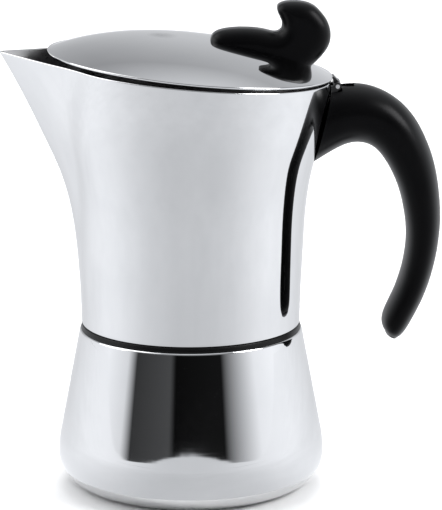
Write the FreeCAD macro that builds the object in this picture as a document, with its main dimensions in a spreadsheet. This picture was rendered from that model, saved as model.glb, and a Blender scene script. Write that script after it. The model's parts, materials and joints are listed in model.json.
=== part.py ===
import FreeCAD, Part
import math
import os
import Sketcher

# A stainless steel moka pot: a threaded boiler, a funnel, a screwed-on jug with a coffee column,
# a hinged lid with a thumb knob, and a hook handle.
# Frame: origin at the centre of the base on the table, +Z up, the handle towards +X, the spout
# towards -X. Millimetres.

V = FreeCAD.Vector
X_AXIS = V(1, 0, 0)
Y_AXIS = V(0, 1, 0)
Z_AXIS = V(0, 0, 1)
ORIGIN = V(0, 0, 0)

# ---------------------------------------------------------------- driving dimensions

DRIVING = {
    # boiler
    "boiler_wall": 1.2,
    "foot_radius": 40.0,
    "corner_radius": 12.0,
    "belly_arc": 45.0,
    "belly_top": 20.7,
    "shoulder_radius": 43.3,
    "shoulder_height": 61.95,
    "disc_radius": 38.0,
    "disc_thickness": 2.0,
    # threaded neck and the ring that screws onto it
    "neck_radius": 37.0,
    "neck_bore": 35.0,
    "neck_top": 73.5,
    "thread_pitch": 4.0,
    "thread_depth": 1.1,
    "thread_root": 2.2,
    "thread_crest": 1.2,
    "thread_gap": 0.3,
    "thread_start": 65.2,
    "thread_rise": 6.4,
    # jug
    "jug_wall": 0.8,
    "jug_bottom": 64.15,
    "jug_bottom_radius": 42.5,
    "rim_height": 163.9,
    "rim_slope": 0.088,
    "fold_depth": 2.2,
    "floor_height": 77.4,
    "floor_thickness": 1.0,
    "column_radius": 7.0,
    "column_tip_radius": 5.6,
    "column_base": 87.0,
    "column_top": 146.0,
    # funnel, filter and seal
    "funnel_rim_radius": 36.2,
    "basket_radius": 34.4,
    "basket_depth": 21.0,
    "funnel_sheet": 0.7,
    "stem_radius": 5.6,
    "stem_end": 7.0,
    "seal_radius": 36.2,
    "seal_bore": 27.0,
    "seal_height": 2.8,
    "filter_radius": 28.5,
    # lid and hinge
    "lid_radius": 54.85,
    "lid_height": 165.9,
    "lid_tilt": 5.7,
    "lid_rise": 9.6,
    "lid_wall": 0.8,
    "lid_bead": 0.5,
    "hinge_x": 56.3,
    "hinge_height": 157.4,
    "pin_radius": 0.8,
    "pin_clearance": 0.06,
    "knuckle_radius": 1.5,
    "knuckle_width": 7.0,
    "ear_width": 2.2,
    "ear_gap": 0.3,
    # knob and handle
    "knob_width": 15.0,
    "knob_rounding": 1.5,
    "grip_root_width": 27.0,
    "grip_width": 23.5,
    # safety valve
    "valve_height": 44.0,
    "valve_hex": 5.5,
    "valve_shank": 4.0,
    "valve_bore": 2.5,
    "valve_stem": 1.0,
    "valve_clearance": 0.06,
}


class Size:
    """A dimension that holds its value and the sheet expression that gives it."""

    def __init__(self, value, text):
        self.value = float(value)
        self.text = text

    def join(self, other, sign, value):
        text = other.text if isinstance(other, Size) else str(other)
        return Size(value, "(%s %s %s)" % (self.text, sign, text))

    def __add__(self, other):
        return self.join(other, "+", self.value + number(other))

    def __sub__(self, other):
        return self.join(other, "-", self.value - number(other))

    def __mul__(self, other):
        return self.join(other, "*", self.value * number(other))


def number(item):
    return item.value if isinstance(item, Size) else float(item)


def as_size(item):
    return item if isinstance(item, Size) else Size(item, str(float(item)))


def root(item):
    return Size(math.sqrt(item.value), "sqrt(%s)" % item.text)


doc = FreeCAD.newDocument("moka_pot")
sheet = doc.addObject("Spreadsheet::Sheet", "Sizes")
size = {}
for row, (alias, value) in enumerate(DRIVING.items(), 1):
    sheet.set("A%d" % row, alias)
    sheet.set("B%d" % row, str(value))
    sheet.setAlias("B%d" % row, alias)
    size[alias] = Size(value, "Sizes." + alias)
doc.recompute()


def driven(alias):
    """The sheet's value of a dimension, for shapes that Part's own functions make."""
    return float(sheet.get(alias))


# ---------------------------------------------------------------- sketch and body helpers

def new_body(label):
    body = doc.addObject("PartDesign::Body", label)
    body.Label = label
    return body


def new_sketch(body, plane):
    sketch = body.newObject("Sketcher::SketchObject", body.Label + "_sketch")
    base = [item for item in body.Origin.OriginFeatures if item.Role == plane][0]
    sketch.AttachmentSupport = (base, [""])
    sketch.MapMode = "FlatFace"
    return sketch


def bind(sketch, constraint, item):
    """Adds a dimension to the sketch and drives it from the sheet."""
    index = sketch.addConstraint(constraint)
    sketch.setExpression("Constraints[%d]" % index, item.text)


def arc_between(start, end, radius):
    """The arc from start to end; a positive radius bulges to the right of the way there."""
    chord = end - start
    side = V(chord.y, -chord.x, 0).normalize()
    drop = math.sqrt(radius * radius - chord.Length ** 2 / 4)
    centre = (start + end) * 0.5 - side * math.copysign(drop, radius)
    first, last = (start, end) if radius > 0 else (end, start)
    low = math.atan2(first.y - centre.y, first.x - centre.x)
    high = math.atan2(last.y - centre.y, last.x - centre.x)
    if high < low:
        high += 2 * math.pi
    return Part.ArcOfCircle(Part.Circle(centre, Z_AXIS, abs(radius)), low, high)


def outline(body, points):
    """A closed, fully driven sketch; a point is (x, z), or (x, z, radius) where an arc follows."""
    sketch = new_sketch(body, "XZ_Plane")
    spots = [V(number(p[0]), number(p[1]), 0) for p in points]
    count = len(points)
    starts = []
    ends = []
    for index, point in enumerate(points):
        start = spots[index]
        end = spots[(index + 1) % count]
        if len(point) == 2:
            sketch.addGeometry(Part.LineSegment(start, end), False)
            starts.append(1)
            ends.append(2)
            continue
        arc = arc_between(start, end, number(point[2]))
        sketch.addGeometry(arc, False)
        forward = number(point[2]) > 0
        starts.append(1 if forward else 2)
        ends.append(2 if forward else 1)
    for index in range(count):
        after = (index + 1) % count
        joint = Sketcher.Constraint("Coincident", index, ends[index], after, starts[after])
        sketch.addConstraint(joint)
    for index, point in enumerate(points):
        spot(sketch, index, starts[index], point)
        if len(point) == 3:
            radius = as_size(point[2])
            if radius.value < 0:
                radius = Size(-radius.value, "(0 - %s)" % radius.text)
            bind(sketch, Sketcher.Constraint("Radius", index, radius.value), radius)
    return sketch


def spot(sketch, edge, end, point):
    """Fixes one end of an edge from the sketch's origin."""
    x, z = point[0], point[1]
    if number(x) == 0:
        sketch.addConstraint(Sketcher.Constraint("PointOnObject", edge, end, -2))
    else:
        bind(sketch, Sketcher.Constraint("DistanceX", -1, 1, edge, end, number(x)), as_size(x))
    if number(z) == 0:
        sketch.addConstraint(Sketcher.Constraint("PointOnObject", edge, end, -1))
    else:
        bind(sketch, Sketcher.Constraint("DistanceY", -1, 1, edge, end, number(z)), as_size(z))


def turned(label, points):
    """A body turned about the Z axis from an outline in the XZ plane."""
    body = new_body(label)
    sketch = outline(body, points)
    turn = body.newObject("PartDesign::Revolution", label + "_turn")
    turn.Profile = sketch
    turn.ReferenceAxis = (sketch, ["V_Axis"])
    turn.Angle = 360
    doc.recompute()
    return body


def add_thread(body, points, rise):
    """A helical ridge, of the sheet's pitch, on a turned body."""
    sketch = outline(body, points)
    ridge = body.newObject("PartDesign::AdditiveHelix", body.Label + "_thread")
    ridge.Profile = sketch
    ridge.ReferenceAxis = (sketch, ["V_Axis"])
    ridge.Mode = "pitch-height-angle"
    ridge.setExpression("Pitch", size["thread_pitch"].text)
    ridge.setExpression("Height", rise.text)
    doc.recompute()


def add_hole_ring(body, name, ring_radius, hole_radius, count):
    """A ring of equal through holes in a flat disc that lies across the Z axis."""
    sketch = new_sketch(body, "XY_Plane")
    sketch.addGeometry(Part.Circle(V(ring_radius, 0, 0), Z_AXIS, hole_radius), False)
    if ring_radius == 0:
        sketch.addConstraint(Sketcher.Constraint("Coincident", 0, 3, -1, 1))
    else:
        sketch.addConstraint(Sketcher.Constraint("PointOnObject", 0, 3, -1))
        sketch.addConstraint(Sketcher.Constraint("DistanceX", -1, 1, 0, 3, ring_radius))
    sketch.addConstraint(Sketcher.Constraint("Radius", 0, hole_radius))
    before = body.Shape.Volume
    pocket = body.newObject("PartDesign::Pocket", name)
    pocket.Profile = sketch
    pocket.Type = "ThroughAll"
    pocket.SideType = "Symmetric"
    doc.recompute()
    if body.Shape.Volume >= before:
        raise RuntimeError(name + " cuts nothing")
    if count == 1:
        return
    pattern = body.newObject("PartDesign::PolarPattern", name + "_pattern")
    pattern.Originals = [pocket]
    pattern.Axis = (sketch, ["N_Axis"])
    pattern.Angle = 360
    pattern.Occurrences = count
    body.Tip = pattern
    doc.recompute()


def perforated_disc(label, radius, low, thickness, hole_radius, spacing, rings):
    """A flat disc with a hole in the middle and rings of 6, 12, 18 and so on around it."""
    body = turned(label, [(0, low), (radius, low), (radius, low + thickness), (0, low + thickness)])
    add_hole_ring(body, label + "_hole_0", 0, hole_radius, 1)
    for ring in range(1, rings + 1):
        add_hole_ring(body, "%s_hole_%d" % (label, ring), ring * spacing, hole_radius, 6 * ring)
    return body


def feature(label, shape):
    """A sub-part whose shape is made by Part's own functions from the sheet's sizes."""
    item = doc.addObject("Part::Feature", label)
    item.Label = label
    item.Shape = shape
    return item


def skinned_solid(rows):
    """A smooth solid whose skin follows closed rows of control points, with flat ends."""
    around = len(rows[0])
    spans = len(rows) - 3
    skin = Part.BSplineSurface()
    skin.buildFromPolesMultsKnots(
        rows,
        [4] + [1] * (spans - 1) + [4],
        [1] * (around + 1),
        [float(knot) for knot in range(spans + 1)],
        [float(knot) for knot in range(around + 1)],
        False, True, 3, 3)
    side = skin.toShape()
    ends = [Part.Face(Part.Wire(edge)) for edge in side.Edges if edge.isClosed()]
    shell = Part.makeShell([side] + ends)
    shell.sewShape()
    return Part.makeSolid(shell)


def cylinder(name, radius, height, base, placement=None):
    item = doc.addObject("Part::Cylinder", name)
    item.setExpression("Radius", as_size(radius).text)
    item.setExpression("Height", as_size(height).text)
    item.Placement = (placement or FreeCAD.Placement()).multiply(
        FreeCAD.Placement(base, FreeCAD.Rotation()))
    return item


def prism(name, circumradius, height, base, placement):
    item = doc.addObject("Part::Prism", name)
    item.Polygon = 6
    item.setExpression("Circumradius", as_size(circumradius).text)
    item.setExpression("Height", as_size(height).text)
    item.Placement = placement.multiply(FreeCAD.Placement(base, FreeCAD.Rotation()))
    return item


def cut(label, base, tools):
    """The base with each tool cut from it; the last cut is the sub-part."""
    result = base
    for index, tool in enumerate(tools):
        step = doc.addObject("Part::Cut", "%s_cut_%d" % (label, index))
        step.Base = result
        step.Tool = tool
        result = step
    result.Label = label
    return result


def fuse(label, items):
    """Several overlapping or touching solids made into one."""
    result = doc.addObject("Part::MultiFuse", label + "_fuse")
    result.Shapes = items
    result.Refine = True
    result.Label = label
    return result


sub_parts = []


def keep(*items):
    sub_parts.extend(items)


# ---------------------------------------------------------------- boiler

def build_boiler():
    """Drawn boiler wall with a rounded foot and a shoulder, its floor, and the disc under it."""
    wall = size["boiler_wall"]
    foot = size["foot_radius"]
    corner = size["corner_radius"]
    belly = foot + corner
    arc = size["belly_arc"]
    top = size["belly_top"]
    lift = top - corner
    belly_top_radius = belly - arc + root(arc * arc - lift * lift)
    recess = size["disc_radius"] + 0.1
    floor = size["disc_thickness"] + wall
    neck_hole = size["neck_radius"]
    shoulder = size["shoulder_height"]
    boiler = turned("boiler_shell", [
        (recess, 0),
        (foot, 0, corner),
        (belly, corner, arc),
        (belly_top_radius, top),
        (size["shoulder_radius"], shoulder - 0.6, as_size(0.6)),
        (size["shoulder_radius"] - 0.6, shoulder),
        (neck_hole, shoulder),
        (neck_hole, shoulder - wall),
        (size["shoulder_radius"] - wall, shoulder - wall),
        (belly_top_radius - wall, top, arc * -1),
        (belly - wall, corner),
        (belly - wall, corner - 3),
        (foot, floor),
        (recess, floor),
    ])
    floor_disc = turned("boiler_floor", [
        (0, size["disc_thickness"]),
        (recess, size["disc_thickness"]),
        (recess, floor),
        (0, floor),
    ])
    disc = turned("base_disc", [
        (0, 0),
        (size["disc_radius"], 0),
        (size["disc_radius"], size["disc_thickness"]),
        (0, size["disc_thickness"]),
    ])
    keep(boiler, floor_disc, disc)


def build_neck():
    """Threaded steel collar of the boiler, and the black heat-proof ring round its foot."""
    outer = size["neck_radius"]
    bore = size["neck_bore"]
    shoulder = size["shoulder_height"]
    start = size["thread_start"]
    root_half = size["thread_root"] * 0.5
    crest_half = size["thread_crest"] * 0.5
    neck = turned("boiler_neck", [
        (bore, shoulder - 3),
        (outer + 2, shoulder - 3),
        (outer + 2, shoulder - size["boiler_wall"]),
        (outer, shoulder - size["boiler_wall"]),
        (outer, size["neck_top"] - 0.5),
        (outer - 0.5, size["neck_top"]),
        (bore, size["neck_top"]),
    ])
    add_thread(neck, [
        (outer - 0.3, start - root_half),
        (outer + size["thread_depth"], start - crest_half),
        (outer + size["thread_depth"], start + crest_half),
        (outer - 0.3, start + root_half),
    ], size["thread_rise"])
    inner = outer + size["thread_depth"] + 0.2
    top = size["jug_bottom"] - 0.2
    ring = turned("neck_ring", [
        (inner, shoulder),
        (size["shoulder_radius"] - 0.3, shoulder),
        (size["jug_bottom_radius"], top),
        (inner, top),
    ])
    keep(neck, ring)


# ---------------------------------------------------------------- safety valve

def wall_slope():
    """The boiler wall's lean from the vertical above the belly, in radians."""
    belly_top_inset = 0.8
    run = driven("foot_radius") + driven("corner_radius") - driven("shoulder_radius")
    rise = driven("shoulder_height") - driven("belly_top")
    return math.atan2(run - belly_top_inset, rise)


def valve_frame():
    """The valve's own frame: its origin on the far wall and its Z axis out of the wall."""
    lean = wall_slope()
    drop = driven("shoulder_height") - driven("valve_height")
    radius = driven("shoulder_radius") + drop * math.tan(lean)
    turn = FreeCAD.Rotation(X_AXIS, -90 + math.degrees(lean))
    return FreeCAD.Placement(V(0, radius, driven("valve_height")), turn)


def bore_boiler_wall(frame):
    """The hole for the valve, cut in the first sub-part, which is the boiler's wall."""
    blank = sub_parts[0]
    hole = cylinder("valve_wall_hole", size["valve_shank"] + 0.05, 12, V(0, 0, -6), frame)
    shell = cut("boiler_shell_bored", blank, [hole])
    blank.Label = "boiler_shell_blank"
    shell.Label = "boiler_shell"
    sub_parts[0] = shell


def build_valve():
    """Brass relief valve through the far side of the boiler: a sprung poppet in a hex body."""
    frame = valve_frame()
    bore_boiler_wall(frame)
    shank = size["valve_shank"]
    bore = size["valve_bore"]
    stem = size["valve_stem"]
    play = size["valve_clearance"]
    head_low = 1.0
    head_high = head_low + 5.0
    shank_end = -6.5
    seat = -5.2
    cap_thickness = 1.2
    cap_low = head_high - cap_thickness - 0.2

    washer_low = 0.2
    washer_blank = cylinder("valve_washer_blank", shank + 1.8, head_low - washer_low,
                            V(0, 0, washer_low), frame)
    washer_hole = cylinder("valve_washer_hole", shank + 0.05, 2, V(0, 0, -0.5), frame)
    washer = cut("valve_washer", washer_blank, [washer_hole])

    head = prism("valve_head", size["valve_hex"], head_high - head_low, V(0, 0, head_low), frame)
    thread = cylinder("valve_thread", shank, 8, V(0, 0, shank_end), frame)
    chamber = cylinder("valve_chamber", bore, 20, V(0, 0, seat), frame)
    inlet = cylinder("valve_inlet", 1.3, 6, V(0, 0, shank_end - 1.5), frame)
    body = cut("valve_body", fuse("valve_body_blank", [head, thread]), [chamber, inlet])

    nut_low = -4.8
    nut_blank = prism("valve_nut_blank", size["valve_hex"] + 1, 2.6, V(0, 0, nut_low), frame)
    nut_hole = cylinder("valve_nut_hole", shank + 0.02, 6, V(0, 0, nut_low - 1.2), frame)
    nut = cut("valve_nut", nut_blank, [nut_hole])

    cap_blank = cylinder("valve_cap_blank", bore - 0.02, cap_thickness, V(0, 0, cap_low), frame)
    cap_hole = cylinder("valve_cap_hole", stem + play, 4, V(0, 0, cap_low - 1.6), frame)
    cap = cut("valve_cap", cap_blank, [cap_hole])

    poppet_low = seat + 0.1
    poppet = fuse("valve_poppet", [
        cylinder("valve_poppet_head", bore - play, 1.0, V(0, 0, poppet_low), frame),
        cylinder("valve_poppet_stem", stem, 12.3, V(0, 0, poppet_low + 0.3), frame),
    ])

    wire = 0.3
    turns_radius = driven("valve_bore") - wire - 0.2
    coil = Part.makeHelix(1.3, 7.8, turns_radius)
    section = Part.Wire(Part.makeCircle(wire, V(turns_radius, 0, 0), Y_AXIS))
    spring_shape = Part.Wire(coil.Edges).makePipeShell([section], True, True)
    spring = feature("valve_spring", spring_shape)
    spring_low = V(0, 0, poppet_low + 1.5)
    spring.Placement = frame.multiply(FreeCAD.Placement(spring_low, FreeCAD.Rotation()))
    keep(body, washer, nut, cap, poppet, spring)


# ---------------------------------------------------------------- funnel, seal and filter

def build_funnel():
    """Coffee funnel that hangs in the neck by its rim, with a strainer at the basket's floor."""
    sheet_metal = size["funnel_sheet"]
    seat = size["neck_top"]
    basket = size["basket_radius"]
    low = seat - size["basket_depth"]
    stem = size["stem_radius"]
    ledge = 1.2
    funnel = turned("funnel_body", [
        (size["funnel_rim_radius"], seat),
        (size["funnel_rim_radius"], seat + sheet_metal),
        (basket - sheet_metal, seat + sheet_metal),
        (basket - sheet_metal, low),
        (basket - sheet_metal - ledge, low),
        (stem - sheet_metal, low - 9),
        (stem - sheet_metal, size["stem_end"]),
        (stem, size["stem_end"]),
        (stem, low - 9 - sheet_metal),
        (basket, low - sheet_metal),
        (basket, seat),
    ])
    strainer = perforated_disc(
        "funnel_strainer", basket - sheet_metal - 0.1, low, as_size(0.5), 0.8, 5.8, 5)
    keep(funnel, strainer)


def build_seal():
    """Silicone gasket and the filter plate that it holds, under the jug's floor."""
    low = size["neck_top"] + size["funnel_sheet"] + 0.2
    top = low + size["seal_height"]
    lip = size["filter_radius"] + 0.05
    shelf = low + 1.7
    gasket = turned("seal_gasket", [
        (size["seal_bore"], low),
        (size["seal_radius"], low),
        (size["seal_radius"], top),
        (lip, top),
        (lip, shelf),
        (size["seal_bore"], shelf),
    ])
    plate = perforated_disc(
        "filter_plate", size["filter_radius"], shelf, as_size(0.6), 0.6, 4.2, 6)
    keep(gasket, plate)


# ---------------------------------------------------------------- jug

# Jug section at each height: radius of the round wall, how far the spout's ridge stands out
# of it, and the radius of the ridge itself.
JUG_SECTIONS = [
    (48.0, 42.3, 0.05, 34.0),
    (58.0, 42.4, 0.05, 34.0),
    (68.0, 42.55, 0.1, 34.0),
    (78.0, 42.85, 0.1, 33.0),
    (88.0, 43.4, 0.2, 31.0),
    (96.0, 43.8, 0.5, 27.0),
    (104.0, 44.15, 1.1, 22.0),
    (112.0, 44.8, 1.9, 17.5),
    (120.0, 45.9, 2.9, 14.0),
    (128.0, 47.7, 4.1, 11.0),
    (136.0, 50.1, 5.5, 8.5),
    (144.0, 52.0, 7.3, 6.5),
    (152.0, 53.4, 9.7, 4.8),
    (160.0, 54.2, 13.0, 3.4),
    (168.0, 54.6, 17.0, 2.4),
    (176.0, 54.8, 21.6, 1.8),
    (184.0, 54.9, 26.0, 1.6),
]


def hull_radius(turn, radius, reach, nose):
    """Distance from the axis to the hull of the round wall and the ridge; turn 0 is the spout.
    A shallow fold runs where the ridge's side leaves the round wall."""
    offset = radius + reach - nose
    tangent = math.acos((radius - nose) / offset)
    side = abs(turn)
    tip = math.atan2(nose * math.sin(tangent), offset + nose * math.cos(tangent))
    if side >= tangent:
        hull = radius
    elif side >= tip:
        hull = radius / math.cos(tangent - side)
    else:
        hull = offset * math.cos(side) + math.sqrt(nose ** 2 - (offset * math.sin(side)) ** 2)
    depth = driven("fold_depth") * (reach / (reach + 3.0)) ** 1.5
    return hull - depth * math.exp(-((side / tangent - 0.9) / 0.3) ** 2)


def ring_turns(count, crowding):
    """Angles round the jug, from -pi to pi, closer together towards the spout at 0."""
    turns = []
    for step in range(count):
        even = 2 * math.pi * step / count - math.pi
        turns.append(even - crowding * math.sin(even))
    return turns


def settled(points):
    """Control points whose cubic ring passes close to the given points."""
    poles = list(points)
    for _ in range(3):
        moved = []
        for index, point in enumerate(points):
            after = poles[(index + 1) % len(poles)]
            curve = (poles[index - 1] + poles[index] * 4 + after) * (1 / 6)
            moved.append(poles[index] + point - curve)
        poles = moved
    return poles


def jug_solid(wall):
    """The solid inside the jug's outline, inset by a wall."""
    rows = []
    for height, radius, reach, nose in JUG_SECTIONS:
        points = []
        for turn in ring_turns(48, 0.9):
            out = hull_radius(turn, radius - wall, reach, nose - wall)
            points.append(V(-out * math.cos(turn), out * math.sin(turn), height))
        rows.append(settled(points))
    return skinned_solid(rows)


def tilted_block(height, slope, low, high):
    """A large block whose faces follow a plane that climbs towards the spout."""
    block = Part.makeBox(300, 300, high - low, V(-150, -150, low))
    block.rotate(ORIGIN, Y_AXIS, math.degrees(math.atan(slope)))
    block.translate(V(0, 0, height))
    return block


def build_jug():
    """Jug wall with its pressed spout, the floor, and the threaded ring under it."""
    outer = jug_solid(0)
    inner = jug_solid(driven("jug_wall"))
    tube = outer.cut(inner)
    band = tilted_block(driven("rim_height"), driven("rim_slope"), -140, 0)
    tube = tube.common(band)
    low = driven("jug_bottom")
    tube = tube.cut(Part.makeBox(200, 200, low - 40, V(-100, -100, 40)))
    shell = feature("jug_shell", tube.Solids[0])

    bore = size["neck_radius"] + size["thread_depth"] + size["thread_gap"]
    start = size["thread_start"] + size["thread_pitch"] * 0.5
    crest = size["neck_radius"] + 0.2
    root_half = size["thread_root"] * 0.5 - 0.1
    crest_half = size["thread_crest"] * 0.5 - 0.1
    wall_radius = size["jug_bottom_radius"] - size["jug_wall"] - 0.1
    floor = size["floor_height"]
    ring = turned("thread_ring", [
        (bore, size["jug_bottom"] + 0.6),
        (wall_radius, size["jug_bottom"] + 0.6),
        (wall_radius, floor),
        (bore, floor),
    ])
    add_thread(ring, [
        (bore + 0.3, start - root_half),
        (crest, start - crest_half),
        (crest, start + crest_half),
        (bore + 0.3, start + root_half),
    ], size["thread_rise"])

    column = size["column_radius"]
    thick = size["floor_thickness"]
    flat = size["filter_radius"] - 1
    jug_floor = turned("jug_floor", [
        (column, size["column_base"] + thick),
        (column, size["column_base"]),
        (flat, floor),
        (wall_radius + 0.35, floor),
        (wall_radius + 0.35, floor + thick),
        (flat + 0.3, floor + thick),
    ])
    keep(shell, ring, jug_floor)
    return outer


def build_column():
    """Coffee column in the middle of the jug, and its cap with two side ports."""
    base = size["column_base"]
    top = size["column_top"]
    outer = size["column_radius"]
    tip = size["column_tip_radius"]
    column = turned("coffee_column", [
        (outer - 1, base - 1.5),
        (outer, base - 1.5),
        (outer, base + 3),
        (tip, top),
        (tip - 1, top),
        (outer - 1, base + 3),
    ])
    cap_blank = turned("column_cap_blank", [
        (0, top + 5),
        (0, top + 6),
        (tip * 0.6, top + 6),
        (tip + 0.9, top + 3.5),
        (tip + 0.9, top - 4),
        (tip + 0.2, top - 4),
        (tip + 0.2, top + 3),
        (tip * 0.5, top + 5),
    ])
    port = doc.addObject("Part::Box", "column_port")
    port.setExpression("Length", (tip * 3).text)
    port.Width = 5
    port.Height = 3
    port.Placement = FreeCAD.Placement(
        V(-tip.value * 1.5, -2.5, top.value + 0.3), FreeCAD.Rotation())
    cap = cut("column_cap", cap_blank, [port])
    keep(column, cap)


# ---------------------------------------------------------------- lid and hinge

# Screws of the knob, by their distance from the lid's axis.
KNOB_SCREWS = (19.0, 38.0)


def lid_frame():
    """The lid's own frame: its origin at the middle of its edge, tilted towards the spout."""
    turn = FreeCAD.Rotation(Y_AXIS, driven("lid_tilt"))
    return FreeCAD.Placement(V(0, 0, driven("lid_height")), turn)


def dome_height(radius):
    """Height of the lid's crown above its edge, flat in the middle and steeper outside."""
    share = radius / driven("lid_radius")
    return driven("lid_rise") * (1 - share ** 2.6)


def dome_profile(low, steps):
    """The crown's half outline at a depth below its outer face, from the axis outwards."""
    edge = driven("lid_radius") - driven("lid_bead")
    points = []
    for step in range(steps + 1):
        radius = edge * math.sin(math.pi / 2 * step / steps)
        points.append(V(radius, 0, dome_height(radius) - low))
    curve = Part.BSplineCurve()
    curve.interpolate(points)
    return curve.toShape(), points


def build_lid_crown():
    """The domed sheet of the lid, in the lid's own frame."""
    steps = 9
    outer, top_points = dome_profile(0, steps)
    inner, low_points = dome_profile(driven("lid_wall"), steps)
    face = Part.Face(Part.Wire([
        outer,
        Part.makeLine(top_points[-1], low_points[-1]),
        inner.reversed(),
        Part.makeLine(low_points[0], top_points[0]),
    ]))
    return face.revolve(ORIGIN, Z_AXIS, 360)


def dome_filling(low):
    """The solid under the crown at a depth below its outer face, in the lid's own frame."""
    outer, points = dome_profile(low, 9)
    foot = [V(points[-1].x, 0, -20), V(0, 0, -20)]
    face = Part.Face(Part.Wire([
        outer,
        Part.makeLine(points[-1], foot[0]),
        Part.makeLine(foot[0], foot[1]),
        Part.makeLine(foot[1], points[0]),
    ]))
    return face.revolve(ORIGIN, Z_AXIS, 360)


def build_lid():
    """Domed lid with a rolled edge, and the leaf that joins it to the hinge."""
    bead = driven("lid_bead")
    crown = build_lid_crown()
    edge = Part.makeTorus(driven("lid_radius") - bead, bead)
    shell_shape = crown.fuse(edge).removeSplitter()
    screw_hole = 1.6
    depth = 4.0
    holes = []
    for x in KNOB_SCREWS:
        base = V(x, 0, dome_height(x) - depth / 2)
        holes.append(Part.makeCylinder(screw_hole, depth, base))
    shell_shape = shell_shape.cut(Part.makeCompound(holes))
    shell = feature("lid_shell", shell_shape.Solids[0])
    shell.Placement = lid_frame()
    keep(shell)
    return shell


def largest(shape):
    return max(shape.Solids, key=lambda solid: solid.Volume)


# Hinge leaf seen from the side, as (x, z) from the pin: it leaves the rolled edge of the lid,
# clear of the jug's rim, and ends in the knuckle.
LEAF_OUTLINE = [(-2.3, 3.3), (-1.3, 3.4), (0.9, 1.1), (0.0, 0.2), (-1.3, 0.6), (-1.6, 2.3)]


def build_hinge_leaf(centre, half, lid_shell):
    """The lid's leaf and its knuckle, bored for the pin."""
    bore = driven("pin_radius") + driven("pin_clearance")
    along = V(0, -1, 0)
    knuckle = Part.makeCylinder(
        driven("knuckle_radius"), 2 * half, centre - along * half, along)
    corners = [centre + V(x, -half, z) for x, z in LEAF_OUTLINE]
    strip = Part.Face(Part.makePolygon(corners + corners[:1]))
    leaf = strip.extrude(V(0, 2 * half, 0)).fuse(knuckle)
    leaf = leaf.cut(Part.makeCylinder(bore, 4 * half, centre - along * 2 * half, along))
    leaf = leaf.cut(lid_shell.Shape)
    return feature("lid_hinge_leaf", largest(leaf))


def build_hinge_bracket(centre, gap, jug_core):
    """Two ears on a plate, fixed to the jug's wall."""
    ear = driven("ear_width")
    depth = 2.4
    ear_drop = 7.5
    plate_height = 5.0
    back = centre - V(depth, 0, ear_drop)
    pieces = []
    for low in (-(gap + ear), gap):
        pieces.append(Part.makeCylinder(
            driven("knuckle_radius"), ear, V(centre.x, low, centre.z), Y_AXIS))
        pieces.append(Part.makeBox(depth, ear, ear_drop, V(back.x, low, back.z)))
    corner = V(back.x, -(gap + ear), back.z - plate_height + 2)
    pieces.append(Part.makeBox(depth, 2 * (gap + ear), plate_height, corner))
    bracket = pieces[0].multiFuse(pieces[1:])
    pin_hole = Part.makeCylinder(
        driven("pin_radius") + 0.02, 40, V(centre.x, -20, centre.z), Y_AXIS)
    bracket = bracket.cut(pin_hole).cut(jug_core)
    return feature("hinge_bracket", largest(bracket))


def build_hinge(jug_core, lid_shell):
    """Pin, the lid's leaf with its knuckle, and the bracket with two ears on the jug."""
    centre = V(driven("hinge_x"), 0, driven("hinge_height"))
    half = driven("knuckle_width") / 2
    gap = half + driven("ear_gap")
    leaf = build_hinge_leaf(centre, half, lid_shell)
    bracket = build_hinge_bracket(centre, gap, jug_core)
    length = 2 * (gap + driven("ear_width")) + 1.0
    pin = cylinder("hinge_pin", size["pin_radius"], length, V(0, 0, 0))
    pin.Placement = FreeCAD.Placement(
        centre - Y_AXIS * (length / 2), FreeCAD.Rotation(X_AXIS, -90))
    keep(leaf, bracket, pin)


# ---------------------------------------------------------------- knob

# Side view of the knob: a thumb hook that curls back over a low tongue, (x, z) at the middle.
KNOB_OUTLINE = [
    [(7.6, 175.4), (10.8, 178.1), (15.0, 179.1), (21.4, 179.4), (27.0, 178.9), (32.4, 177.6)],
    [(32.4, 177.6), (34.6, 178.6), (35.2, 180.3), (34.6, 182.6), (33.0, 186.4)],
    [(33.0, 186.4), (33.4, 188.0), (36.0, 189.2), (39.7, 189.6), (43.9, 189.1), (47.4, 187.6),
     (50.4, 184.7), (52.6, 181.4), (53.6, 177.8), (53.4, 174.2), (51.9, 170.9), (49.0, 167.4),
     (45.0, 164.0)],
]


def smooth_edge(points):
    curve = Part.BSplineCurve()
    curve.interpolate([V(x, 0, z) for x, z in points])
    return curve.toShape()


def knob_block():
    """The knob's side view made solid, with its long edges rounded."""
    width = driven("knob_width")
    edges = [smooth_edge(points) for points in KNOB_OUTLINE]
    first = KNOB_OUTLINE[0][0]
    last = KNOB_OUTLINE[-1][-1]
    foot = V(first[0], 0, last[1])
    edges.append(Part.makeLine(V(last[0], 0, last[1]), foot))
    edges.append(Part.makeLine(foot, V(first[0], 0, first[1])))
    side = Part.Face(Part.Wire(edges))
    side.translate(V(0, -width / 2, 0))
    block = side.extrude(V(0, width, 0))
    rounded = []
    for edge in block.Edges:
        box = edge.BoundBox
        flat_side = abs(box.YMax - box.YMin) < 1e-6
        if flat_side and edge.Curve.TypeId == "Part::GeomBSplineCurve":
            rounded.append(edge)
    return block.makeFillet(driven("knob_rounding"), rounded)


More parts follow.
